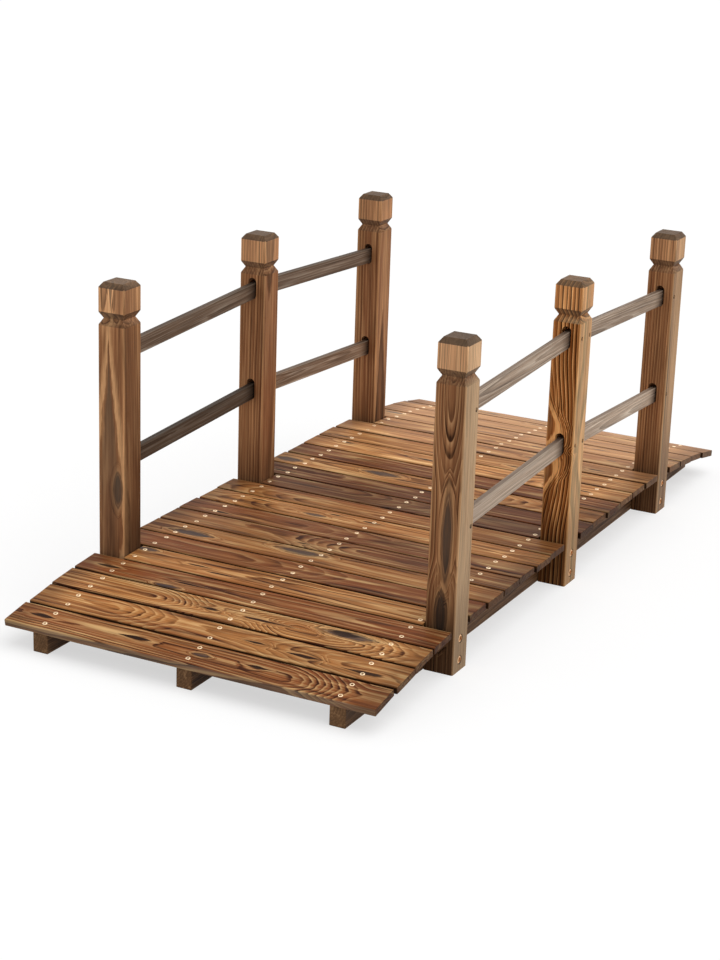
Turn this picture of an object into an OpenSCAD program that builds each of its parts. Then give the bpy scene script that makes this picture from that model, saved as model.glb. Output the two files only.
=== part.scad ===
// Garden footbridge of stained softwood that lies on level ground.
// Three stringers, flat below and curved down at both ends on top, carry a deck of cross
// planks. Six square posts with grooved and chamfered caps stand against the outer
// stringers, in slots that shorter planks leave, and hold two sloping rails on each side.
// Millimetres. +Z is up, +Y runs along the bridge, and +X points to its right-hand side.
// The origin is on the ground under the middle of the deck.

/* [Deck] */
// Width of a plank, along the bridge
plank_w = 62; // [52:0.5:75]
// Thickness of a plank
plank_t = 12; // [8:0.5:20]
// Length of a full plank, across the bridge
plank_l = 676; // [560:1:800]
// Gap between neighbouring planks
plank_gap = 4.5; // [2:0.5:10]
// Radius of the eased upper edges of a plank
plank_ease = 2.5; // [0.5:0.5:4]
// How far the ends of the planks stray from their common line
plank_stray = 1.5; // [0:0.1:4]
// Clearance under a plank on the curved ends
plank_seat = 0.1; // [0.05:0.05:0.3]
// Gap between the end of a short plank and the post beside it
short_plank_play = 2; // [0.5:0.5:6]

/* [Stringers] */
// Thickness of a stringer
stringer_t = 28; // [20:1:45]
// Height of a stringer along its level middle
stringer_h = 71.5; // [60:0.5:120]
// Length of the level middle of the deck
level_l = 732; // [560:2:1000]
// Radius of the curved ends of the stringers
bend_r = 2035; // [1500:5:6000]
// How far a stringer stops short of the outermost plank's edge
stringer_setback = 1.5; // [0:0.5:20]

/* [Posts] */
// Width of a square post
post_w = 52; // [40:1:60]
// How far the outer face of a post lies inside the plank ends
post_inset = 0.5; // [0:0.5:10]
// Chamfer on the upright edges of a post
post_ease = 2; // [0.5:0.5:4]
// Height of the upper edge of the cap's sides
post_h = 543; // [490:1:700]
// Height of the cap's sides
cap_h = 40; // [30:1:50]
// Height of the chamfer on top of the cap
hip_h = 9.5; // [4:0.5:20]
// How far the chamfer on top of the cap runs in
hip_inset = 7; // [3:0.5:15]
// Height of the groove under the cap
groove_h = 24; // [12:0.5:30]
// Depth of the groove under the cap
groove_d = 7; // [3:0.5:10]

/* [Post bolts] */
// Diameter of a bolt hole
bolt_d = 7; // [5:0.5:9]
// Diameter of the recess for a bolt head
bolt_head_d = 15; // [11:0.5:20]
// Depth of the recess for a bolt head
bolt_head_depth = 9; // [4:0.5:20]
// Height of the lower bolt above the ground
bolt_low = 19; // [12:0.5:25]
// Distance of the upper bolt below the level top of a stringer
bolt_edge = 15.5; // [12:0.5:20]

/* [Rails] */
// Thickness of a rail
rail_t = 11; // [8:0.5:16]
// Height of a rail
rail_h = 29.5; // [20:0.5:36]
// Chamfer on the long edges of a rail
rail_ease = 1; // [0.5:0.5:2]
// Height of the middle of an upper rail at the end posts
upper_rail_z = 429; // [380:1:435]
// Height of the middle of a lower rail at the end posts
lower_rail_z = 237; // [180:1:300]
// How much higher the rails are at the middle posts
rail_rise = 21; // [0:1:30]

/* [Mortises] */
// Clearance on each side of a rail in its mortise
mortise_play = 3; // [0.5:0.5:5]
// How much taller a mortise is than the rail in it
mortise_slack = 11; // [6:0.5:16]
// Depth of a mortise
mortise_depth = 20; // [12:0.5:22]
// Gap between the end of a rail and the bottom of its mortise
rail_end_play = 1.5; // [1:0.5:4]
// Clearance under a rail where it rests in its mortise
rail_seat = 0.2; // [0.1:0.05:0.3]
// Diameter of the screw hole that meets a mortise
screw_d = 4; // [3:0.5:5]
// Diameter of the recess for a rail screw's head
screw_head_d = 7.5; // [6:0.5:10]
// Depth of the recess for a rail screw's head
screw_head_depth = 8; // [4:0.5:10]
// Distance of a rail screw from the post face that its rail enters
screw_edge = 9; // [7:0.5:14]

/* [Hidden] */
$fn = 48;
// The curve of the stringers is long, so it takes many steps
bend_fn = 720;
// How far a cut reaches past the face that it opens
through = 1;

// Planks are numbered from the front; the middle one lies under the middle posts
plank_n = 23;
middle_plank = (plank_n + 1) / 2;
// Planks from the middle post to an end post
post_step = 7;
plank_pitch = plank_w + plank_gap;
post_pitch = deck_y(post_step * plank_pitch);

// Across the bridge, each post stands outside its stringer
post_x = plank_l / 2 - post_inset - post_w / 2;
post_inner_x = post_x - post_w / 2;
stringer_x = post_inner_x - stringer_t / 2;
short_plank_l = 2 * (post_inner_x - short_plank_play);

// A stringer ends under the edge of the outermost plank
outer_s = (middle_plank - 1) * plank_pitch;
stringer_half = deck_y(outer_s) + plank_w / 2 * cos(bend_angle(outer_s)) - stringer_setback;

groove_z = post_h - cap_h - groove_h / 2;
bolt_heights = [bolt_low, stringer_h - bolt_edge];

// A round-ended mortise; the lower edges of the rail rest in its rounded foot
mortise_r = rail_t / 2 + mortise_play;
mortise_h = rail_h + mortise_slack;
mortise_flat = mortise_h / 2 - mortise_r;
rail_sink = mortise_flat + min(
    sqrt(pow(mortise_r, 2) - pow(rail_t / 2 - rail_ease, 2)),
    sqrt(pow(mortise_r, 2) - pow(rail_t / 2, 2)) + rail_ease);
rail_angle = atan2(rail_rise, post_pitch);
// Reach of a rail along the bridge, into the middle post and into the end post
rail_near = post_w / 2 - mortise_depth + rail_end_play;
rail_far = post_pitch - rail_near;

SIDES = ["left", "right"];
BAYS = ["front", "back"];
STATIONS = ["front", "middle", "back"];
LEVELS = ["lower", "upper"];

function plank_name(k) = str("deck_plank_", k < 10 ? "0" : "", k);
function post_name(station, side) = str(station, "_", side, "_post");
function rail_name(bay, side, level) = str(bay, "_", side, "_", level, "_rail");

// The top of the stringers, followed by the distance s along it from mid-length
function bend_angle(s) = max(0, abs(s) - level_l / 2) / bend_r * 180 / PI;
function deck_y(s) = sign(s) * (min(abs(s), level_l / 2) + bend_r * sin(bend_angle(s)));
function deck_z(s) = stringer_h - bend_r * (1 - cos(bend_angle(s)));

function side_sign(side) = side == "left" ? -1 : 1;
function along_sign(place) = place == "front" ? -1 : place == "back" ? 1 : 0;
function is_short(k) = abs(k - middle_plank) % post_step == 0;
// Even, unhurried wander of the plank ends, by a turn that never repeats
function stray(k) = is_short(k) ? 0 : plank_stray * sin(137.5 * (k - middle_plank));

// Height of a rail's middle at a distance from the middle post
function rail_z(level, y) =
    (level == "upper" ? upper_rail_z : lower_rail_z) + rail_rise * (1 - y / post_pitch);
// Height of a mortise's middle, so that the lowest part of the rail in it is on its seat
function mortise_z(level, station) =
    rail_z(level, station == "middle" ? post_w / 2 : rail_far)
    - rail_h / 2 * (station == "middle" ? 1 / cos(rail_angle) : cos(rail_angle))
    - rail_seat + rail_sink;

module along_y(length) {
    rotate([90, 0, 0]) linear_extrude(length, center = true) children();
}

module along_x(length) {
    rotate([90, 0, 90]) linear_extrude(length, center = true) children();
}

module plank_section() {
    difference() {
        translate([-plank_w / 2, 0]) square([plank_w, plank_t]);
        for (edge = [-1, 1])
            translate([edge * (plank_w / 2 - plank_ease), plank_t - plank_ease])
                difference() {
                    translate([edge < 0 ? -plank_ease - through : 0, 0]) square(plank_ease + through);
                    circle(plank_ease);
                }
    }
}

module deck_plank(k) {
    s = (k - middle_plank) * plank_pitch;
    color("sienna")
        translate([stray(k), deck_y(s), deck_z(s) + (bend_angle(s) > 0 ? plank_seat : 0)])
            rotate([-sign(s) * bend_angle(s), 0, 0])
                along_x(is_short(k) ? short_plank_l : plank_l) plank_section();
}

module stringer_profile() {
    translate([-level_l / 2, 0]) square([level_l, stringer_h]);
    for (end = [-1, 1])
        mirror([end < 0 ? 1 : 0, 0])
            intersection() {
                translate([level_l / 2, 0]) square([stringer_half - level_l / 2, stringer_h]);
                translate([level_l / 2, stringer_h - bend_r]) circle(bend_r, $fn = bend_fn);
            }
}

module stringer(place) {
    x = place == "middle" ? 0 : side_sign(place) * stringer_x;
    color("saddlebrown")
        difference() {
            translate([x, 0, 0]) along_x(stringer_t) stringer_profile();
            if (place != "middle")
                for (station = STATIONS, z = bolt_heights)
                    translate([x, along_sign(station) * post_pitch, z])
                        rotate([0, 90, 0])
                            cylinder(d = bolt_d, h = stringer_t + 2 * through, center = true);
        }
}

// Square with cut corners
module eased_rectangle(w, h, ease) {
    polygon([for (q = [[1, -1], [1, 1], [-1, 1], [-1, -1]], corner = [0, 1])
        let (along = (q[0] * q[1] < 0) == (corner == 0))
        [q[0] * (w / 2 - (along ? ease : 0)), q[1] * (h / 2 - (along ? 0 : ease))]]);
}

// One half of a post's outline, from the foot to the top of the cap
module post_outline() {
    half = [
        [post_w / 2, 0],
        [post_w / 2, groove_z - groove_h / 2],
        [post_w / 2 - groove_d, groove_z],
        [post_w / 2, groove_z + groove_h / 2],
        [post_w / 2, post_h],
        [post_w / 2 - hip_inset, post_h + hip_h]];
    polygon(concat(half, [for (i = [len(half) - 1 : -1 : 0]) [-half[i][0], half[i][1]]]));
}

module post_blank() {
    intersection() {
        linear_extrude(post_h + hip_h) eased_rectangle(post_w, post_w, post_ease);
        along_x(post_w) post_outline();
        along_y(post_w) post_outline();
    }
}

// Mortise in the post's face towards +Y, open at that face
module mortise() {
    translate([0, post_w / 2 - mortise_depth, 0])
        rotate([-90, 0, 0])
            linear_extrude(mortise_depth + through) {
                for (end = [-1, 1]) translate([0, end * mortise_flat]) circle(mortise_r);
                square([2 * mortise_r, 2 * mortise_flat], center = true);
            }
}

// Stepped hole in the post's outer face, which is towards +X
module stepped_hole(d, head_d, head_depth, reach) {
    translate([post_w / 2 - reach, 0, 0]) rotate([0, 90, 0]) cylinder(d = d, h = reach);
    translate([post_w / 2 - head_depth, 0, 0])
        rotate([0, 90, 0]) cylinder(d = head_d, h = head_depth + through);
}

module post(station, side) {
    // A rail enters an end post on the face towards the middle, and a middle post on both
    rail_faces = station == "middle" ? [-1, 1] : [-along_sign(station)];
    color("peru")
        mirror([side == "left" ? 1 : 0, 0, 0])
            translate([post_x, along_sign(station) * post_pitch, 0])
                difference() {
                    post_blank();
                    for (z = bolt_heights)
                        translate([0, 0, z])
                            stepped_hole(bolt_d, bolt_head_d, bolt_head_depth, post_w + through);
                    for (level = LEVELS, face = rail_faces)
                        translate([0, 0, mortise_z(level, station)])
                            mirror([0, face < 0 ? 1 : 0, 0]) {
                                mortise();
                                translate([0, post_w / 2 - screw_edge, 0])
                                    stepped_hole(screw_d, screw_head_d, screw_head_depth, post_w / 2);
                            }
                }
}

module rail(bay, side, level) {
    length = (rail_far - rail_near) / cos(rail_angle);
    mid = (rail_near + rail_far) / 2;
    color("dimgray")
        translate([side_sign(side) * post_x, along_sign(bay) * mid, rail_z(level, mid)])
            rotate([-along_sign(bay) * rail_angle, 0, 0])
                along_y(length) eased_rectangle(rail_t, rail_h, rail_ease);
}

for (k = [1 : plank_n]) deck_plank(k);
for (place = ["left", "middle", "right"])
    stringer(place);
for (side = SIDES, station = STATIONS)
    post(station, side);
for (side = SIDES, bay = BAYS, level = LEVELS)
    rail(bay, side, level);
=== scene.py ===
import math
import random

import bmesh
import bpy
from mathutils import Matrix, Vector, noise


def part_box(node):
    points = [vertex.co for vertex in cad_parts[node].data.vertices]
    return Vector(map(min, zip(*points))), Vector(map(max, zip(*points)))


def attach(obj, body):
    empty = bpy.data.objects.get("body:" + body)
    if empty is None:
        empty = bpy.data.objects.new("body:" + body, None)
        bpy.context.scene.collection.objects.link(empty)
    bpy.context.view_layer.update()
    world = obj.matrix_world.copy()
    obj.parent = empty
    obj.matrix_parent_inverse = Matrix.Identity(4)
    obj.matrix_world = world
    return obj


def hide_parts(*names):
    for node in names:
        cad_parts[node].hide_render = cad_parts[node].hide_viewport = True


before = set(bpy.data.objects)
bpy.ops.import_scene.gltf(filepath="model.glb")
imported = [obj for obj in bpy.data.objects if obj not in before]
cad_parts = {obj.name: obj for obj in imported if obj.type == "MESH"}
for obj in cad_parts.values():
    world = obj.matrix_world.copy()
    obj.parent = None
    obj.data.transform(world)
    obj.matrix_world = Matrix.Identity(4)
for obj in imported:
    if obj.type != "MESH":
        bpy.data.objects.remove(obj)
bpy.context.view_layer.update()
scene = bpy.context.scene

# Camera
# It stands in front of the bridge and to its right, a little higher than the posts, with a
# long lens. It leans by the small roll of the photograph.
view_target = Vector((0.1001, -0.3726, 0.2540))
view_distance = 3.6445
view_azimuth = math.radians(26.94)
view_elevation = math.radians(18.37)
view_roll = math.radians(1.94)
view_sensor = 36
view_lens = 82.66
view_turn = (
    Matrix.Rotation(view_azimuth, 4, "Z")
    @ Matrix.Rotation(math.pi / 2 - view_elevation, 4, "X")
    @ Matrix.Rotation(view_roll, 4, "Z")
)
camera_data = bpy.data.cameras.new("view")
camera_data.sensor_width = view_sensor
camera_data.lens = view_lens
camera = bpy.data.objects.new("view", camera_data)
camera.matrix_world = (
    Matrix.Translation(view_target) @ view_turn @ Matrix.Translation((0, 0, view_distance))
)
scene.collection.objects.link(camera)
scene.camera = camera

# Stringers
# Three boards on edge carry the deck: flat below, level on top along the middle, and curved
# down towards both ends. They are sawn from stained fir, with dark sides under the deck and
# rubbed, paler edges, and the outer two are bolted to the posts.
stringer_half = Vector((0.7601, 0.03575, 0.014))
stringer_ease = 0.0012
stringer_ring = 0.0045
stringer_light = 0.78
stringer_grey = 0.1
stringer_bold = 0.5
stringer_seed = 40
# Boards come from anywhere along a trunk this long, so no two share their noise
trunk_length = 40

FLAME_NAMES = ("flame_a", "flame_b", "flame_c")
KNOT_NAMES = ("knot_a", "knot_b")
RIPPLE_NAMES = ("ripple_a", "ripple_b", "ripple_c")
# A mark that a board doesn't have lies far off its end
NO_MARK = (100.0, 0.0, 0.1, 0.1, 0.0)
NO_FOOT_SHADE = (0.0, 0.0)
NO_TRIM = (0.0, 0.0, 0.0)
NO_FLANK = (1.0, 0.0, 1.0)


class Board:
    """A merged copy of a CAD node with eased edges, measured along, across and through itself."""

    # Points closer than this are one point, and faces that turn less than this are one face
    merge_distance = 1e-5
    flat_angle = math.radians(0.2)
    # Edges that turn more than the first are eased, and past the second they shade sharp
    arris_angle = math.radians(30)
    sharp_angle = math.radians(50)
    # Points this near to the outermost one across lie on the flank
    flank_skin = 0.0012
    # A side wall looks at least this squarely across
    wall_facing = 0.95
    # The share of the flank's grey, painted sheen on the posts, that stays past its end
    past_grey_and_sheen = 0.6

    def __init__(self, node, facing, ease, shortest=0.004):
        """Its face looks towards facing, and arrises longer than shortest are eased."""
        self.node = node
        self.bm = bmesh.new()
        self.bm.from_mesh(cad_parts[node].data)
        bmesh.ops.remove_doubles(self.bm, verts=self.bm.verts, dist=self.merge_distance)
        bmesh.ops.dissolve_limit(
            self.bm, angle_limit=self.flat_angle, verts=self.bm.verts, edges=self.bm.edges
        )
        longest = max(self.bm.edges, key=lambda edge: edge.calc_length())
        along = (longest.verts[1].co - longest.verts[0].co).normalized()
        self.along = along if sum(along) > 0 else -along
        facing = Vector(facing)
        face = max(self.bm.faces, key=lambda f: f.calc_area() * max(0, f.normal.dot(facing)))
        self.through = face.normal.copy()
        self.across = self.along.cross(self.through)
        low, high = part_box(node)
        self.centre = (low + high) / 2
        self.face = (face.calc_center_median() - self.centre).dot(self.through)
        arrises = [
            edge for edge in self.bm.edges
            if edge.is_manifold
            and edge.calc_face_angle() > self.arris_angle
            and edge.calc_length() > shortest
        ]
        bmesh.ops.bevel(
            self.bm, geom=arrises, offset=ease, offset_type="OFFSET", segments=2, profile=0.5,
            affect="EDGES", material=-1, clamp_overlap=True,
        )

    def local(self, point):
        """A point's place along, across and through the board, from its middle."""
        offset = point - self.centre
        return Vector((offset.dot(self.along), offset.dot(self.across), offset.dot(self.through)))

    def grow(
        self, ring, pith, lean, start, tone, bold=1.0, patch=1.0, foot_shade=NO_FOOT_SHADE, trim=NO_TRIM,
        wall_shade=0.0, flank=NO_FLANK, flames=(), knots=(), ripples=(),
    ):
        """Writes where each point lay in the tree: rings round a leaning pith line, and marks.

        ring is the ring spacing, pith the pith line's place across and through the board, lean
        its drift per metre and start the board's place along the trunk. tone is light, red and
        grey, and red past 1 makes the colour richer too. bold is the strength of the lines and
        patch that of the broad bands of stain.
        The flank is the side that looks across. foot_shade is how much darker the near end is, on
        the board and on its flank, as painted shade. flank is the gain in light, painted light
        where above 1 and painted shade where below, and the added grey on that side, painted sheen
        on the posts, and where along the board they grow weaker. trim is the soot along the flank's
        edge and along the other edge, painted shade at the gaps between planks, and the gain in
        light at the far end. wall_shade is painted shade on the side walls below edges that have
        soot.
        A mark is its place along and across and its half sizes there, turned end for end by a
        negative length. A ripple also says how many rings further off the pith line lies past
        it, so its arches point along the board, or back if its length or number is negative.
        """

        def radius(x, y):
            """Distance of a point of the face from the pith line, with what ripples add."""
            depth = self.face - pith[1] - lean[1] * x
            for place_x, _, length, _, count in ripples:
                share = min(max((x - place_x) / length * 0.5 + 0.5, 0), 1)
                depth += count * ring * share * share * (3 - 2 * share)
            return math.hypot(y - pith[0] - lean[0] * x, depth)

        # Flames and knots take the number of the ring that they lie in
        marks = {}
        for names, made in ((FLAME_NAMES, flames), (KNOT_NAMES, knots), (RIPPLE_NAMES, ripples)):
            for i, name in enumerate(names):
                x, y, length, width, *count = made[i] if i < len(made) else NO_MARK
                count = count or [math.floor(radius(x, y) / ring)]
                marks[name] = (x, y, length, width, count[0])
        layers = self.bm.verts.layers.float_vector
        for name in ("grain", "place", "tone", "figure", "trim", *marks):
            layers.new(name)
        # A layer is looked up once all are there, because each new one moves the others
        grain, place, tint = (layers[name] for name in ("grain", "place", "tone"))
        figure, border = (layers[name] for name in ("figure", "trim"))
        mark_layers = [(layers[name], mark) for name, mark in marks.items()]

        flank_start = max(self.local(vertex.co).y for vertex in self.bm.verts) - self.flank_skin
        light, red, grey = tone
        # On the flank, light is raised as painted light or lowered as painted shade, and grey is
        # added as painted sheen on the posts
        flank_shading, flank_grey_and_sheen, flank_end = flank
        flank_shaded_tone = (light * flank_shading, red, grey + flank_grey_and_sheen)
        past_shading = min(1, (1 + flank_shading) / 2)
        past_shaded_tone = (light * past_shading, red, grey + flank_grey_and_sheen * self.past_grey_and_sheen)
        near_soot_and_shade, far_soot_and_shade, gain = trim
        face_foot_shade, flank_foot_shade = foot_shade
        self.bm.normal_update()
        for vertex in self.bm.verts:
            a, c, t = self.local(vertex.co)
            vertex[place] = (a, c, t)
            vertex[grain] = (
                a + start,
                (c - pith[0] - lean[0] * a) / ring,
                (t - pith[1] - lean[1] * a) / ring,
            )
            if c > flank_start:
                vertex[tint] = flank_shaded_tone if a < flank_end else past_shaded_tone
                vertex[figure] = (bold, patch, flank_foot_shade)
            else:
                vertex[tint] = tone
                vertex[figure] = (bold, patch, face_foot_shade)
            # On the planks, soot here is painted shade along the gaps, and the walls below are
            # painted as shade
            soot_and_shade = near_soot_and_shade if c > 0 else far_soot_and_shade
            sided = max(abs(face.normal.dot(self.across)) for face in vertex.link_faces)
            vertex[border] = (soot_and_shade, wall_shade if soot_and_shade and sided > self.wall_facing else 0.0, gain)
            # Marks thin out below the face
            below = self.face - t
            for layer, (x, y, length, width, count) in mark_layers:
                aside = c - y + math.copysign(below, c - y)
                vertex[layer] = ((a - x) / length, aside / width, count)

    def finish(self, material, slot):
        """Makes the board an object that replaces its CAD node."""
        mesh = bpy.data.meshes.new(self.node + "_wood")
        self.bm.to_mesh(mesh)
        self.bm.free()
        mesh.shade_smooth()
        mesh.set_sharp_from_angle(angle=self.sharp_angle)
        mesh.materials.append(material)
        board = bpy.data.objects.new(self.node + "_wood", mesh)
        scene.collection.objects.link(board)
        normals = board.modifiers.new("normals", "WEIGHTED_NORMAL")
        normals.keep_sharp = True
        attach(board, "root")
        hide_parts(self.node)


class Shade:
    """A shader socket, so that maths on values reads as Python and adds Math nodes."""

    # Places of a Mix node's factor, two colours and mixed colour among its sockets
    mix_factor = 0
    mix_first = 6
    mix_second = 7
    mix_result = 2

    def __init__(self, tree, socket=None):
        self.tree = tree
        self.socket = socket

    def node(self, kind, settings=None, sockets=None, output=0):
        """Adds a node: its settings come first, then its sockets' values or links."""
        made = self.tree.nodes.new(kind)
        for key, value in (settings or {}).items():
            setattr(made, key, value)
        for key, value in (sockets or {}).items():
            if isinstance(value, Shade):
                self.tree.links.new(value.socket, made.inputs[key])
            else:
                made.inputs[key].default_value = value
        if isinstance(output, tuple):
            return tuple(Shade(self.tree, made.outputs[name]) for name in output)
        return Shade(self.tree, made.outputs[output])

    def math(self, operation, *values):
        return self.node("ShaderNodeMath", {"operation": operation}, dict(enumerate(values)))

    def __add__(self, other):
        return self.math("ADD", self, other)

    def __radd__(self, other):
        return self.math("ADD", other, self)

    def __sub__(self, other):
        return self.math("SUBTRACT", self, other)

    def __rsub__(self, other):
        return self.math("SUBTRACT", other, self)

    def __mul__(self, other):
        return self.math("MULTIPLY", self, other)

    def __rmul__(self, other):
        return self.math("MULTIPLY", other, self)

    def __pow__(self, other):
        return self.math("POWER", self, other)

    def __abs__(self):
        return self.math("ABSOLUTE", self)

    def step(self, low, high):
        """A soft step from 0 at low to 1 at high."""
        return self.node(
            "ShaderNodeMapRange", {"interpolation_type": "SMOOTHSTEP"},
            {"Value": self, "From Min": low, "From Max": high},
        )

    def mix(self, first, second):
        """Two colours mixed by this value."""
        return self.node(
            "ShaderNodeMix", {"data_type": "RGBA"},
            {self.mix_factor: self, self.mix_first: first, self.mix_second: second},
            self.mix_result,
        )


def stain(red, green, blue):
    """A colour as it looks on screen, in 0 to 255, made linear for a shader."""
    levels = [channel / 255 for channel in (red, green, blue)]
    linear = [((v + 0.055) / 1.055) ** 2.4 if v > 0.04045 else v / 12.92 for v in levels]
    return (*linear, 1)


# How far soot and painted shade creep in from an edge, and how far from a sawn end the
# darkening beside it begins and is full
SOOT_AND_SHADE_REACH = 0.0028
END_DARK_REACH = 0.06
END_DARK_FULL = 0.012
# Where a board's cap and the painted shade at its foot begin and are full, in half lengths, and
# how ashen the cap is
CAP_REACH = 0.76
CAP_FULL = 0.8
CAP_ASH = 0.3
FOOT_SHADE_REACH = -0.1
FOOT_SHADE_FULL = -0.75
# How deep the raised grain is and how much of it shows, and how shiny the stain is
RELIEF_DEPTH = 0.0006
RELIEF_STRENGTH = 0.5
STAIN_SHINE = 0.08


def fir(name, along, half, wave, core, scorch, fade, glow, ends, end_darkening, rub, tints):
    """Stained fir whose grain, knots and tone come from what Board.grow wrote on the mesh.

    along is the way the boards lie and half their half sizes. wave is how far the rings wander,
    core the place in a ring where flames begin, scorch how black they are, fade how much of
    that their roots lack, and glow how pale their outlines are. ends is how dark the sawn ends
    are, or how pale if negative, and where positive how far faces that look back along the board
    are darkened as painted shade. end_darkening is how dark the wood is beside the sawn ends, and
    rub how wide and strong the paler rubbed arrises are. tints are the colours of fresh, plain,
    red and late wood, of char, of knots and smoke, and of weathered wood.
    """
    pale, honey, russet, dark, char, slate, ash = (
        stain(*tints[key]) for key in ("pale", "honey", "russet", "dark", "char", "slate", "ash")
    )
    material = bpy.data.materials.new(name)
    material.use_nodes = True
    tree = material.node_tree
    start = Shade(tree)

    def attribute(title):
        return start.node("ShaderNodeAttribute", {"attribute_name": title}, None, "Vector")

    def split(vector):
        return start.node("ShaderNodeSeparateXYZ", None, {0: vector}, ("X", "Y", "Z"))

    grain = attribute("grain")

    def drift(lengthwise, crosswise, detail=2.0):
        """Noise from -0.5 to 0.5, drawn out along the grain."""
        stretched = start.node(
            "ShaderNodeVectorMath", {"operation": "MULTIPLY"},
            {0: grain, 1: (lengthwise, crosswise, crosswise)}, "Vector",
        )
        cloud = start.node(
            "ShaderNodeTexNoise", None, {"Vector": stretched, "Scale": 1.0, "Detail": detail}, "Fac"
        )
        return cloud - 0.5

    # Year rings, a little wavy and uneven, that arch in ripples and bend round flames and knots
    _, v, w = split(grain)
    tip = 0.0
    for title in RIPPLE_NAMES:
        x, y, count = split(attribute(title))
        w = x.step(-1.0, 1.0) * count + w
        tip = (y * y).step(0.3, 0.0) * (x * x).step(1.2, 0.5) + tip
    bend = drift(2.2, 0.1) * 3.5
    sway = drift(9, 0.3) * 0.9
    shiver = drift(40, 1.0) * 0.2
    rings = (v * v + w * w) ** 0.5 + (bend + sway + shiver) * wave

    # A mark's reach is about 1 on its outline: smooth for the rings, ragged for the colours
    crumble = drift(60, 1.6) * wave
    wobble = (drift(25, 0.6) * 1.1 + drift(17, 2.2) * 0.9) * wave
    flame = 0.0
    outline = 0.0
    for title in FLAME_NAMES:
        x, y, number = split(attribute(title))
        narrow = x.math("MAXIMUM", x * 0.6 + 1, 0.4)
        reach = abs(y) ** 0.8 * narrow + abs(x) ** 1.6 + wobble * 0.5
        rings = rings + (number + core + reach ** 3 * 0.12 - rings) * reach.step(2.4, 0.9)
        reach = reach + wobble * 0.5 + crumble * 0.7
        flame = reach.step(1.04, 0.6) * (x.step(-0.6, 0.7) * fade + (1 - fade)) + flame
        outline = reach.step(0.95, 1.1) * reach.step(1.7, 1.1) + outline
    knot = 0.0
    halo = 0.0
    bark = 0.0
    for title in KNOT_NAMES:
        x, y, number = split(attribute(title))
        reach = abs(y) * 0.6 + (x * x + y * y) * 0.5 + wobble * 0.5
        rings = rings + (number + 0.5 + reach * reach * 0.8 - rings) * reach.step(3.0, 0.9)
        reach = reach + wobble * 0.4 + crumble * 1.2
        knot = reach.step(1.15, 0.5) + knot
        halo = reach.step(1.0, 1.4) * reach.step(2.2, 1.5) + halo
        bark = reach.step(0.7, 1.05) * reach.step(1.4, 1.05) + bark

    # Each ring goes from pale fresh wood to dark late wood, by chance more or less
    in_ring = rings.math("FRACT", rings)
    chance = start.node(
        "ShaderNodeTexWhiteNoise", {"noise_dimensions": "1D"},
        {"W": rings.math("FLOOR", rings)}, "Value",
    )
    bold, patch, foot_shade = split(attribute("figure"))
    bold = bold * (1 + drift(4, 0.25) * 1.6)
    fresh = in_ring.step(0.45, 0.04) * (chance * 0.5 + 0.25) * bold.math("MINIMUM", bold, 1.2)
    late = in_ring.step(0.5 - tip * 0.1, 0.9 - tip * 0.1) * in_ring.step(1.0, 0.92)
    late = late * (chance * chance * 0.8 + 0.25 + tip * 0.3) * bold

    # Stain in the grain, smoke in patches, char in marks, and the tone of the whole piece
    light, red, grey = split(attribute("tone"))
    warmth = red + drift(3.5, 0.2) * 1.6
    band = drift(5.5, 0.5, 3.0)
    gold = band.step(0.03, 0.2) * patch
    brown = band.step(-0.02, -0.2) * patch
    fibre = drift(22, 7.0, 3.0)
    streak = drift(5, 1.8, 2.0)
    dash = drift(14, 2.2, 1.0).step(0.18, 0.3) * bold
    smoke = drift(9, 0.4, 3.0).step(0.12, 0.36)
    colour = warmth.step(0.0, 1.0).mix(honey, russet)
    colour = (fresh * 0.9 + streak * 0.9 + gold * 0.65).mix(colour, pale)
    colour = (late * 0.9 - streak * 0.8 + brown * 0.6).mix(colour, dark)
    colour = (dash * 0.4).mix(colour, dark)
    colour = (smoke * (0.45 + fibre)).mix(colour, slate)
    colour = (outline * (glow + fibre * 0.8)).mix(colour, pale)
    colour = (halo * 0.35).mix(colour, pale)
    colour = (bark * 0.6).mix(colour, char)
    colour = (knot * (0.8 + fibre * 1.3)).mix(colour, slate)
    colour = (flame * (scorch + fibre * 0.6)).mix(colour, char)
    colour = (grey * (1 + fibre * 1.5 + streak)).mix(colour, ash)

    # Sawn ends drink more stain, faces that look back along the board get painted shade, edges hold
    # soot and painted shade, and the arrises are rubbed paler
    normal = start.node("ShaderNodeNewGeometry", None, None, "True Normal")
    facing = start.node(
        "ShaderNodeVectorMath", {"operation": "DOT_PRODUCT"}, {0: normal, 1: along}, "Value"
    )
    sawn = abs(facing).step(0.42, 0.62)
    # Faces that look back along the board, such as the downward-facing slopes in the posts'
    # grooves, get painted shade
    painted_undershade = facing.step(-0.3, -0.5) * 0.7
    end_stain_and_shade = sawn.math("MAXIMUM", sawn, painted_undershade)
    colour = (end_stain_and_shade * abs(ends)).mix(colour, char if ends > 0 else pale)
    a, c, t = split(attribute("place"))
    edge_soot_and_shade, painted_wall_shade, gain = split(attribute("trim"))
    cap = a.step(half[0] * CAP_REACH, half[0] * CAP_FULL) * gain
    colour = (cap * CAP_ASH * (1 - end_stain_and_shade)).mix(colour, ash)
    beside_end = abs(a).step(half[0] - END_DARK_REACH, half[0] - END_DARK_FULL)
    colour = (beside_end * (1 + streak * 2 + fibre) * end_darkening).mix(colour, char)
    rim = half[1] - abs(c)
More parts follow.
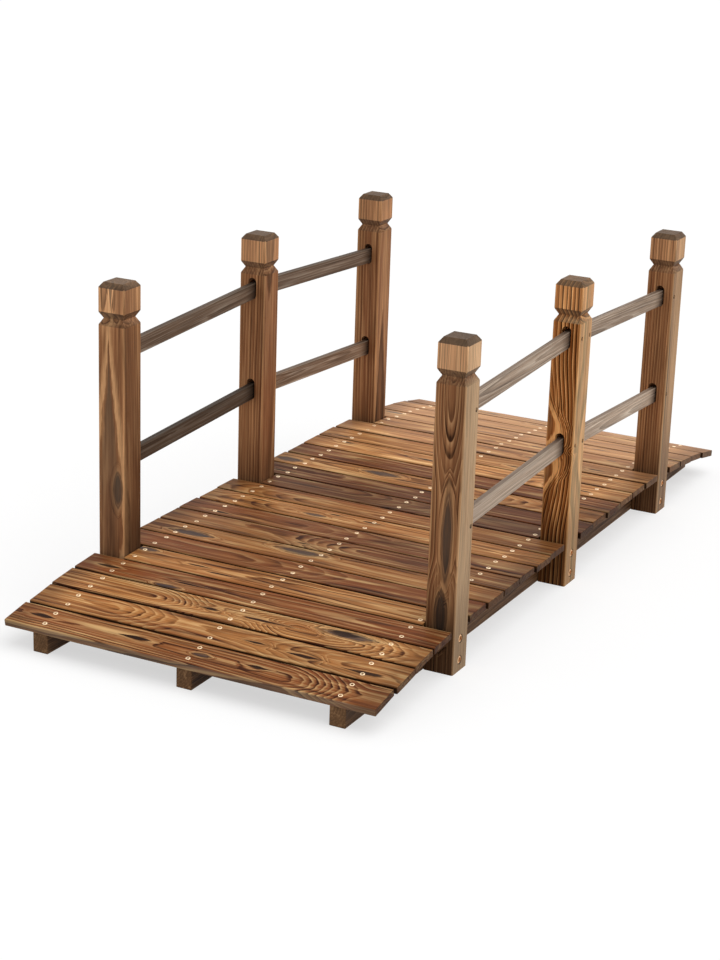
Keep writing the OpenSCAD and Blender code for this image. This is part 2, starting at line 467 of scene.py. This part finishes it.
    # Plank edges and the walls below them darken as painted shade at the gaps; the rails get soot
    colour = (rim.step(SOOT_AND_SHADE_REACH, 0.0) * edge_soot_and_shade).mix(colour, char)
    colour = painted_wall_shade.mix(colour, char)
    rub_width, rub_strength = rub
    arris = (rim + half[2] - abs(t)).step(rub_width * 2, rub_width)
    colour = (arris * (fibre + 0.8) * rub_strength).mix(colour, pale)
    rich = red.step(1.0, 2.0) * 0.12 + 1
    level = light * (1 + fibre * 0.7 + streak * 0.3 + drift(2.5, 0.15) * 0.8)
    # The near end is darkened as painted shade, less on the flank
    low = a.step(half[0] * FOOT_SHADE_REACH, half[0] * FOOT_SHADE_FULL)
    level = level * (1 + cap * (1 - end_stain_and_shade)) * (1 - foot_shade * low * low)
    colour = start.node(
        "ShaderNodeHueSaturation", None,
        {"Saturation": rich, "Value": level, "Color": colour}, "Color",
    )

    # Late wood and fibres stand proud and are a little duller, and knots lie deeper
    roughness = 0.52 + late * 0.1 + fibre * 0.2
    relief = late * 0.6 + fibre * 0.5 - knot * 0.4
    bump = start.node(
        "ShaderNodeBump", None,
        {"Strength": RELIEF_STRENGTH, "Distance": RELIEF_DEPTH, "Height": relief}, "Normal",
    )
    shader = tree.nodes["Principled BSDF"]
    shader.inputs["Specular IOR Level"].default_value = STAIN_SHINE
    tree.links.new(colour.socket, shader.inputs["Base Color"])
    tree.links.new(roughness.socket, shader.inputs["Roughness"])
    tree.links.new(bump.socket, shader.inputs["Normal"])
    return material


stringer_fir = fir(
    "stringer_fir", (0, 1, 0), stringer_half, wave=0.6, core=0.9, scorch=0.6, fade=0.0,
    glow=0.3, ends=-0.2, end_darkening=0.0, rub=(0.0012, 0.9),
    tints=dict(
        pale=(196, 150, 106), honey=(120, 84, 54), russet=(100, 64, 38), dark=(56, 34, 22),
        char=(30, 21, 16), slate=(70, 62, 56), ash=(110, 94, 80),
    ),
)
for i, name in enumerate(("left_stringer", "middle_stringer", "right_stringer")):
    draw = random.Random(stringer_seed + i)
    stringer = Board(name, (1, 0, 0), stringer_ease)
    stringer.grow(
        ring=stringer_ring,
        pith=(draw.uniform(-0.02, 0.02), -0.05),
        lean=(0.01, draw.uniform(-0.03, 0.03)),
        start=draw.uniform(0, trunk_length),
        tone=(stringer_light, draw.uniform(0.2, 0.7), stringer_grey),
        bold=stringer_bold,
    )
    stringer.finish(stringer_fir, "stringer_wood")

# Deck planks
# Twenty-three cross planks of charred and stained fir lie on the stringers, each with rounded
# upper edges. They are flat sawn, so dark late wood draws arches and flames on them, and no
# two are alike. They have bowed and cupped a little since they were cut.
plank_half = Vector((0.338, 0.031, 0.006))
plank_count = 23
plank_ease = 0.0008
plank_seed = 700
# The first planks grew slowly, and the rest have wider rings and softer lines
fine_planks = 3
wide_ring_gain = 1.6
soft_bold_gain = 0.75
# Edges that face another plank hold painted shade, more with each plank, and so do the walls below
# them
gap_shade = 0.12
gap_shade_per_plank = 0.03
gap_wall_shade = 0.85
# The foremost edge is weathered grey along its whole length, and lighter as painted light
front_flank = (1.4, 0.5, 1.0)
plank_fir = fir(
    "plank_fir", (1, 0, 0), plank_half, wave=1.0, core=0.9, scorch=0.9, fade=0.0,
    glow=0.12, ends=0.54, end_darkening=0.35, rub=(0.002, 0.0),
    tints=dict(
        pale=(216, 172, 116), honey=(170, 112, 60), russet=(140, 77, 38), dark=(64, 28, 9),
        char=(36, 19, 9), slate=(58, 56, 57), ash=(128, 114, 98),
    ),
)
# The planks nearest the front, and one in the middle, have marks of their own, the rest by lot
plank_marks = {
    1: dict(
        flames=[
            (-0.282, -0.003, 0.03, 0.005), (-0.112, -0.004, -0.036, 0.0055),
            (0.118, -0.003, 0.026, 0.005),
        ],
        knots=[(0.017, 0.0, 0.012, 0.005)],
        ripples=[(0.235, 0.0, 0.075, 0.012, 9.0)],
    ),
    2: dict(
        flames=[
            (0.155, 0.006, -0.034, 0.005), (0.27, 0.012, -0.044, 0.006),
            (0.072, 0.0, -0.024, 0.0035),
        ],
        ripples=[(-0.13, 0.0, 0.075, 0.008, 6.0), (0.16, 0.004, 0.12, 0.012, -5.0)],
    ),
    3: dict(
        flames=[
            (-0.05, 0.0, -0.022, 0.004), (0.055, 0.0, 0.055, 0.004),
            (0.195, -0.016, 0.034, 0.01),
        ],
        knots=[(0.2, -0.014, 0.034, 0.01)],
        ripples=[
            (-0.1, 0.0, 0.065, 0.012, 8.0), (0.06, 0.0, 0.05, 0.01, -7.5),
            (0.25, 0.0, 0.09, 0.01, 8.0),
        ],
    ),
    4: dict(
        flames=[(-0.12, 0.006, 0.04, 0.003), (-0.284, 0.004, 0.03, 0.006)],
        knots=[(-0.157, 0.027, 0.018, 0.006)],
    ),
    5: dict(
        flames=[(-0.09, 0.014, 0.04, 0.003), (-0.15, 0.0, 0.03, 0.003)],
        knots=[(-0.27, -0.02, 0.016, 0.008)],
    ),
    6: dict(ripples=[(0.0, 0.0, 0.14, 0.016, 5.0)]),
    7: dict(knots=[(-0.246, 0.007, 0.028, 0.011), (-0.036, -0.0127, 0.034, 0.012)]),
    14: dict(
        knots=[(-0.112, -0.009, 0.026, 0.012), (-0.307, 0.008, 0.022, 0.011)],
        ripples=[(0.15, 0.0, 0.14, 0.016, 6.0)],
    ),
}
lot_flame_width = 0.0035
lot_knot_width = 0.006
lot_ripple_width = 0.016
# Light, red and grey of each plank from the front, and how bold its lines are. From the
# sixteenth plank back they are lighter, and from the eighteenth greyer, partly paler wood and
# partly painted sheen and light.
plank_tones_and_sheen = (
    (0.92, 0.8, 0.0, 1.4), (1.0, 0.35, 0.0, 0.8), (1.03, 0.2, 0.0, 1.1), (0.82, 0.85, 0.0, 1.0),
    (1.05, 0.2, 0.0, 1.2), (0.8, 0.8, 0.0, 0.7), (0.86, 0.4, 0.0, 0.9), (0.68, 0.6, 0.05, 0.9),
    (0.7, 0.75, 0.05, 0.9), (0.95, 0.15, 0.0, 0.8), (0.82, 0.45, 0.0, 0.8), (0.52, 0.7, 0.1, 0.9),
    (0.56, 0.9, 0.03, 0.9), (1.05, 0.15, 0.0, 0.9), (0.74, 0.9, 0.0, 0.7), (1.35, 0.0, 0.1, 0.9),
    (1.24, 0.2, 0.1, 0.7), (1.4, 0.3, 0.25, 0.6), (1.45, 0.3, 0.3, 0.6), (1.65, 0.0, 0.35, 0.5),
    (1.6, 0.2, 0.35, 0.5), (1.65, 0.0, 0.35, 0.5), (1.55, 0.2, 0.35, 0.5),
)
# How far a plank crooks, cups and frays, and how fine the fray is in each direction
most_crook = 0.0006
most_cup = 0.0004
most_ragged = 0.0005
top_ragged = 0.6
ragged_scale = Vector((22, 3, 200))
season_cuts = 32


def season(board, draw):
    """Bows, crooks and cups a plank by less than a millimetre."""
    long_edges = [edge for edge in board.bm.edges if edge.calc_length() > plank_half.x]
    bmesh.ops.subdivide_edges(board.bm, edges=long_edges, cuts=season_cuts, use_grid_fill=True)
    for share in (-0.5, 0.0, 0.5):
        bmesh.ops.bisect_plane(
            board.bm, geom=board.bm.verts[:] + board.bm.edges[:] + board.bm.faces[:],
            plane_co=board.centre + board.across * plank_half.y * share, plane_no=board.across,
        )
    crook = draw.uniform(-most_crook, most_crook)
    cup = draw.uniform(0.0, most_cup)
    seed = draw.uniform(0, 100)
    for vertex in board.bm.verts:
        a, c, t = board.local(vertex.co)
        lengthwise = a / plank_half.x
        crosswise = c / plank_half.y
        spot = Vector((a * ragged_scale.x + seed, crosswise * ragged_scale.y, t * ragged_scale.z))
        ragged = noise.noise(spot) * most_ragged
        raised = ragged * top_ragged if t > 0 else 0
        vertex.co += board.across * (crook * (1 - lengthwise ** 2) + ragged * crosswise)
        vertex.co += board.through * (cup * crosswise ** 2 + raised)


planks = []
for k in range(1, plank_count + 1):
    draw = random.Random(plank_seed + k)
    plank = Board(f"deck_plank_{k:02d}", (0, 0, 1), plank_ease, shortest=0.0)
    season(plank, draw)
    ring = draw.uniform(0.0042, 0.0058)
    pith = (draw.uniform(-0.014, 0.014), -draw.uniform(0.006, 0.016))
    lean = (draw.uniform(-0.02, 0.02), draw.uniform(-0.03, 0.03))
    start = draw.uniform(0, trunk_length)
    if k in plank_marks:
        pith = (0.0, pith[1])
    lot_flames = [
        (
            draw.uniform(-0.3, 0.3), draw.uniform(-0.018, 0.018), draw.uniform(0.015, 0.035),
            lot_flame_width,
        )
        for _ in range(draw.randint(0, 3))
    ]
    lot_knots = [
        (
            draw.uniform(-0.3, 0.3), draw.uniform(-0.02, 0.02), draw.uniform(0.01, 0.02),
            lot_knot_width,
        )
        for _ in range(draw.randint(0, 1))
    ]
    lot_ripples = [
        (
            draw.uniform(-0.25, 0.25), pith[0], draw.uniform(0.08, 0.14) * draw.choice((-1, 1)),
            lot_ripple_width, draw.uniform(2, 5),
        )
        for _ in range(draw.randint(0, 2))
    ]
    lot_marks = dict(flames=lot_flames, knots=lot_knots, ripples=lot_ripples)
    *tone, bold = plank_tones_and_sheen[k - 1]
    if k > fine_planks:
        ring *= wide_ring_gain
        bold *= soft_bold_gain
    # Painted shade at the gaps, stronger for each plank further back
    soot_and_shade = gap_shade + gap_shade_per_plank * k
    trim = (0.0 if k == 1 else soot_and_shade, 0.0 if k == plank_count else soot_and_shade, 0.0)
    plank.grow(
        ring, pith, lean, start, tone, bold, trim=trim, wall_shade=gap_wall_shade,
        flank=front_flank if k == 1 else NO_FLANK, **plank_marks.get(k, lot_marks),
    )
    plank.finish(plank_fir, "deck_wood")
    planks.append(plank)

# Deck nails
# Two brass-plated screws hold each plank on each stringer, a little proud of the wood. Each
# head is a low cone with a flat ring round a shallow, duller recess, painted a little darker
# as shade.
stringer_x = 0.2715
nail_across = 0.017
nail_along_slip = 0.002
nail_across_slip = 0.0012
nail_radius = 0.0042
nail_taper = 0.7
nail_proud = 0.0005
nail_sunk = 0.0015
# The top is inset in steps of thickness and rise: a chamfer, a flat ring and a recess
nail_steps = ((0.0005, nail_proud), (0.0013, 0.0), (0.0003, -0.0009))
nail_seed = 9
tarnish_scale = 700.0


def metal(name, tint, tarnish, roughness):
    """Plated metal with a few darker, duller spots."""
    material = bpy.data.materials.new(name)
    material.use_nodes = True
    tree = material.node_tree
    start = Shade(tree)
    where = start.node("ShaderNodeTexCoord", None, None, "Object")
    spots = start.node(
        "ShaderNodeTexNoise", None,
        {"Vector": where, "Scale": tarnish_scale, "Detail": 3.0}, "Fac",
    )
    colour = spots.step(0.45, 0.75).mix(tint, tarnish)
    dull = spots * 0.3 + roughness
    shader = tree.nodes["Principled BSDF"]
    shader.inputs["Metallic"].default_value = 1.0
    tree.links.new(colour.socket, shader.inputs["Base Color"])
    tree.links.new(dull.socket, shader.inputs["Roughness"])
    return material


def stamped(shape, places, name, materials):
    """Copies one small shape to many places in a single mesh that rides on the bridge."""
    stamp = bpy.data.meshes.new(name + "_one")
    shape.to_mesh(stamp)
    count = len(shape.verts)
    shape.free()
    joined = bmesh.new()
    for place in places:
        joined.from_mesh(stamp)
        joined.verts.ensure_lookup_table()
        bmesh.ops.transform(joined, matrix=place, verts=joined.verts[-count:])
    mesh = bpy.data.meshes.new(name)
    joined.to_mesh(mesh)
    joined.free()
    bpy.data.meshes.remove(stamp)
    for material in materials:
        mesh.materials.append(material)
    heads = bpy.data.objects.new(name, mesh)
    scene.collection.objects.link(heads)
    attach(heads, "root")


def placed(point, right, up, out, spin=0.0):
    """Matrix that puts a shape drawn on the XY plane, facing +Z, on a surface at a point."""
    turn = Matrix((right, up, out)).transposed().to_4x4()
    return Matrix.Translation(point) @ turn @ Matrix.Rotation(spin, 4, "Z")


nail = bmesh.new()
bmesh.ops.create_cone(
    nail, cap_ends=True, segments=12, radius1=nail_radius * nail_taper, radius2=nail_radius,
    depth=nail_sunk, matrix=Matrix.Translation((0, 0, -nail_sunk / 2)),
)
nail_top = max(nail.faces, key=lambda face: face.calc_center_median().z)
for thickness, depth in nail_steps:
    bmesh.ops.inset_individual(nail, faces=[nail_top], thickness=thickness, depth=depth)
nail_top.material_index = 1
brass = metal("brass", stain(255, 232, 196), stain(240, 200, 150), 0.25)
# The recess is painted a little darker, as shade
recess = metal("recess", stain(232, 200, 164), stain(200, 162, 120), 0.5)
nail_places = []
draw = random.Random(nail_seed)
for plank in planks:
    for x in (-stringer_x, 0.0, stringer_x):
        for row in (-nail_across, nail_across):
            along = x - plank.centre.x + draw.uniform(-nail_along_slip, nail_along_slip)
            across = row + draw.uniform(-nail_across_slip, nail_across_slip)
            point = (
                plank.centre + plank.along * along + plank.across * across
                + plank.through * plank.face
            )
            spin = draw.uniform(0, math.pi)
            nail_places.append(placed(point, plank.along, -plank.across, plank.through, spin))
stamped(nail, nail_places, "deck_nails", (brass, recess))

# Posts
# Six square posts of the same fir stand beside the outer stringers. Each has cut corners, a V
# groove all round and a cap with a chamfered top.
post_half = Vector((0.27625, 0.026, 0.026))
post_ease = 0.0006
post_fir = fir(
    "post_fir", (0, 0, 1), post_half, wave=0.3, core=0.3, scorch=0.7, fade=0.7,
    glow=0.8, ends=0.88, end_darkening=0.0, rub=(0.002, 0.4),
    tints=dict(
        pale=(222, 170, 120), honey=(164, 114, 75), russet=(138, 87, 55), dark=(58, 33, 17),
        char=(80, 67, 54), slate=(72, 63, 55), ash=(176, 150, 118),
    ),
)
# flank paints light and sheen on the right posts' outer faces, which look to the lamp, and shade on
# the left posts' inner faces and caps. The foot darkens each post towards the deck as painted
# shade.
post_growth = {
    "front_left_post": dict(
        ring=0.0075, pith=(-0.006, 0.0), lean=(0.0, 0.03), start=3.0,
        tone=(1.42, 0.55, 0.03), bold=0.7, patch=0.5,
        foot_shade=(0.3, 0.3), trim=(0.0, 0.0, 0.36), flank=(0.23, 0.0, 0.2),
        flames=[(-0.06, -0.005, 0.25, 0.025), (0.285, -0.001, -0.06, 0.005)],
        knots=[(-0.08, 0.013, 0.022, 0.009)],
        ripples=[(-0.11, 0.0, -0.04, 0.022, -2.0)],
    ),
    "middle_left_post": dict(
        ring=0.0058, pith=(-0.08, 0.01), lean=(0.01, 0.0), start=8.0,
        tone=(1.15, 0.5, 0.0), bold=0.85, patch=0.4,
        foot_shade=(0.5, 0.5), trim=(0.0, 0.0, 0.62), flank=(0.95, 0.0, 0.215),
    ),
    "back_left_post": dict(
        ring=0.006, pith=(-0.07, 0.0), lean=(-0.01, 0.0), start=15.0,
        tone=(1.15, 0.5, 0.0), bold=0.85, patch=0.4,
        foot_shade=(0.4, 0.4), trim=(0.0, 0.0, 0.45), flank=(0.95, 0.05, 0.215),
    ),
    "front_right_post": dict(
        ring=0.0045, pith=(0.003, 0.037), lean=(0.0, 0.0), start=21.0,
        tone=(1.0, 0.5, 0.0), bold=0.8, patch=0.5,
        foot_shade=(0.65, 0.32), trim=(0.0, 0.0, 0.92), flank=(1.38, 0.7, 0.215),
        knots=[(-0.178, 0.0, 0.03, 0.011), (-0.045, 0.005, 0.05, 0.009)],
        ripples=[(0.1, 0.003, -0.09, 0.02, 4.0), (-0.12, 0.003, 0.05, 0.02, 4.0)],
    ),
    "middle_right_post": dict(
        ring=0.0066, pith=(-0.09, -0.02), lean=(0.0, 0.0), start=27.0,
        tone=(1.76, 1.7, 0.0), bold=2.3, patch=0.8,
        foot_shade=(0.65, 0.4), trim=(0.0, 0.0, 0.35), flank=(1.13, 0.55, 0.215),
        flames=[(0.024, -0.028, 0.04, 0.017), (-0.07, -0.028, -0.038, 0.017)],
        ripples=[(-0.11, 0.2, 0.08, 0.03, -7.0), (0.06, 0.2, 0.09, 0.03, 7.0)],
    ),
    "back_right_post": dict(
        ring=0.005, pith=(-0.1, -0.01), lean=(0.0, 0.0), start=33.0,
        tone=(1.15, 0.55, 0.0), bold=1.1, patch=0.5,
        foot_shade=(0.55, 0.2), trim=(0.0, 0.0, 0.35), flank=(1.0, 0.45, 0.215),
    ),
}
posts = []
for name, growth in post_growth.items():
    post = Board(name, (0, -1, 0), post_ease)
    post.grow(**growth)
    post.finish(post_fir, "post_wood")
    posts.append(post)

# Post bolts
# Two plated bolts of a coppery brass hold each post to its stringer. Their round heads, with a
# socket for a key, lie in drilled recesses in the post's outer face.
bolt_heights = (0.019, 0.056)
bolt_radius = 0.007
bolt_head_height = 0.0076
bolt_recess_depth = 0.009
# A rounded shoulder, a crown and a socket
bolt_steps = ((0.001, 0.0006), (0.0017, 0.0005), (0.0002, -0.0022))


def socket_head(radius, height, steps):
    """A round head on the XY plane whose top is inset in steps of thickness and rise."""
    head = bmesh.new()
    bmesh.ops.create_cone(
        head, cap_ends=True, segments=20, radius1=radius, radius2=radius, depth=height,
        matrix=Matrix.Translation((0, 0, height / 2)),
    )
    top = max(head.faces, key=lambda face: face.calc_center_median().z)
    for thickness, rise in steps:
        bmesh.ops.inset_individual(head, faces=[top], thickness=thickness, depth=rise)
    top.material_index = 1
    return head


def on_outer_face(post, y, z, depth):
    """Matrix for a head at the bottom of a recess in a post's outer face."""
    out = Vector((math.copysign(1, post.centre.x), 0, 0))
    up = Vector((0, 0, 1))
    point = Vector((post.centre.x + out.x * (post_half.y - depth), y, z))
    return placed(point, up.cross(out), up, out)


bolt = socket_head(bolt_radius, bolt_head_height, bolt_steps)
bolt_places = [
    on_outer_face(post, post.centre.y, height, bolt_recess_depth)
    for post in posts
    for height in bolt_heights
]
gilt = metal("gilt", stain(244, 198, 150), stain(200, 136, 92), 0.22)
# The sockets are painted dark brown, as the shade inside them
socket = metal("socket", stain(96, 66, 38), stain(58, 38, 24), 0.5)
stamped(bolt, bolt_places, "post_bolts", (gilt, socket))

# Rail screws
# One screw through each post's outer face holds each rail end in its mortise. The small heads
# lie in drilled recesses, on the side of the post that the rail comes from.
screw_radius = 0.0034
screw_head_height = 0.0052
screw_recess_depth = 0.008
screw_steps = ((0.0006, 0.0004), (0.0012, 0.0), (0.0002, -0.001))
end_post_screws = (0.43336, 0.24136)
middle_post_screws = (0.45282, 0.26082)
rail_side = 0.017
screw = socket_head(screw_radius, screw_head_height, screw_steps)
screw_places = []
for post in posts:
    y = post.centre.y
    if abs(y) > post_half.y:
        sides = (math.copysign(rail_side, -y),)
        heights = end_post_screws
    else:
        sides = (-rail_side, rail_side)
        heights = middle_post_screws
    for side in sides:
        for height in heights:
            screw_places.append(on_outer_face(post, y + side, height, screw_recess_depth))
stamped(screw, screw_places, "rail_screws", (gilt, socket))

# Rails
# Two thin rails on each side of each bay slope up to the middle posts. They are planed fir
# with cut arrises, darker and greyer than the posts, and their ends are let into mortises.
rail_half = Vector((0.2255, 0.01475, 0.0055))
rail_ease = 0.0004
rail_patch = 0.6
# Soot lies along the upper edge
rail_trim = (0.0, 0.6, 0.0)
rail_fir = fir(
    "rail_fir", (0, 1, 0), rail_half, wave=0.6, core=0.9, scorch=0.5, fade=0.0,
    glow=0.3, ends=0.5, end_darkening=0.75, rub=(0.001, 0.2),
    tints=dict(
        pale=(214, 196, 176), honey=(150, 122, 98), russet=(120, 90, 66), dark=(66, 47, 33),
        char=(50, 38, 31), slate=(70, 62, 56), ash=(156, 142, 128),
    ),
)
# How bold the lines are on each side, and light, red and grey of each rail. Beside their
# own tone, the right rails, seen on faces that look to the lamp, are lighter and greyer as
# painted light and sheen, and the left ones darker as painted shade.
rail_bold = {"left": 0.5, "right": 0.9}
rail_tones_and_light = {
    "front_left_lower": (0.38, 0.5, 0.1), "front_left_upper": (0.71, 0.5, 0.1),
    "back_left_lower": (1.15, 0.6, 0.05), "back_left_upper": (0.7, 0.5, 0.1),
    "front_right_lower": (1.52, 0.3, 0.6), "front_right_upper": (1.52, 0.4, 0.4),
    "back_right_lower": (1.75, 0.4, 0.5), "back_right_upper": (1.42, 0.4, 0.35),
}
for side in ("left", "right"):
    for bay in ("front", "back"):
        for level in ("lower", "upper"):
            draw = random.Random(f"{bay} {side} {level}")
            rail = Board(f"{bay}_{side}_{level}_rail", (1, 0, 0), rail_ease)
            rail.grow(
                ring=draw.uniform(0.003, 0.004),
                pith=(draw.uniform(-0.01, 0.01), -draw.uniform(0.006, 0.02)),
                lean=(draw.uniform(-0.01, 0.01), draw.uniform(-0.02, 0.02)),
                start=draw.uniform(0, trunk_length),
                tone=rail_tones_and_light[f"{bay}_{side}_{level}"],
                bold=rail_bold[side],
                patch=rail_patch,
                trim=rail_trim,
            )
            rail.finish(rail_fir, "rail_wood")

# Floor and light
# A plain white studio floor under a soft sky, with one broad lamp from the upper right. Rays
# that see the floor and the sky find them white, and the light from both stays plain.
floor_size = 60
floor_grey = 0.4
floor_glow = 0.6
sky_level = 0.55
lamp_energy = 1.7
lamp_spread = math.radians(70)
lamp_from = Vector((0.35, 0.15, 0.92))


def seen(tree):
    """1 for a ray from the camera, or one that a gloss or a glass sends on, and 0 for light."""
    kinds = ("Is Camera Ray", "Is Glossy Ray", "Is Transmission Ray")
    camera_ray, glossy_ray, clear_ray = Shade(tree).node("ShaderNodeLightPath", None, None, kinds)
    return camera_ray + glossy_ray + clear_ray


floor_bm = bmesh.new()
bmesh.ops.create_grid(floor_bm, x_segments=1, y_segments=1, size=floor_size / 2)
floor_mesh = bpy.data.meshes.new("floor")
floor_bm.to_mesh(floor_mesh)
floor_bm.free()
floor = bpy.data.objects.new("floor", floor_mesh)
scene.collection.objects.link(floor)
floor_paint = bpy.data.materials.new("floor_paint")
floor_paint.use_nodes = True
floor_tree = floor_paint.node_tree
floor_white = seen(floor_tree).mix((0, 0, 0, 1), (1, 1, 1, 1))
floor_shader = floor_tree.nodes["Principled BSDF"]
floor_shader.inputs["Base Color"].default_value = (floor_grey, floor_grey, floor_grey, 1)
floor_shader.inputs["Roughness"].default_value = 1.0
floor_shader.inputs["Specular IOR Level"].default_value = 0.0
floor_shader.inputs["Emission Strength"].default_value = floor_glow
floor_tree.links.new(floor_white.socket, floor_shader.inputs["Emission Color"])
floor_mesh.materials.append(floor_paint)

sky = bpy.data.worlds.new("sky")
scene.world = sky
sky.use_nodes = True
sky_tree = sky.node_tree
sky_seen = seen(sky_tree)
sky_strength = sky_seen.math("MINIMUM", sky_seen, 1.0) * (1 - sky_level) + sky_level
sky_shader = sky_tree.nodes["Background"]
sky_shader.inputs["Color"].default_value = (1, 1, 1, 1)
sky_tree.links.new(sky_strength.socket, sky_shader.inputs["Strength"])

lamp_data = bpy.data.lights.new("lamp", "SUN")
lamp_data.energy = lamp_energy
lamp_data.angle = lamp_spread
lamp = bpy.data.objects.new("lamp", lamp_data)
lamp.rotation_euler = lamp_from.to_track_quat("Z", "Y").to_euler()
scene.collection.objects.link(lamp)

scene.view_settings.view_transform = "Standard"
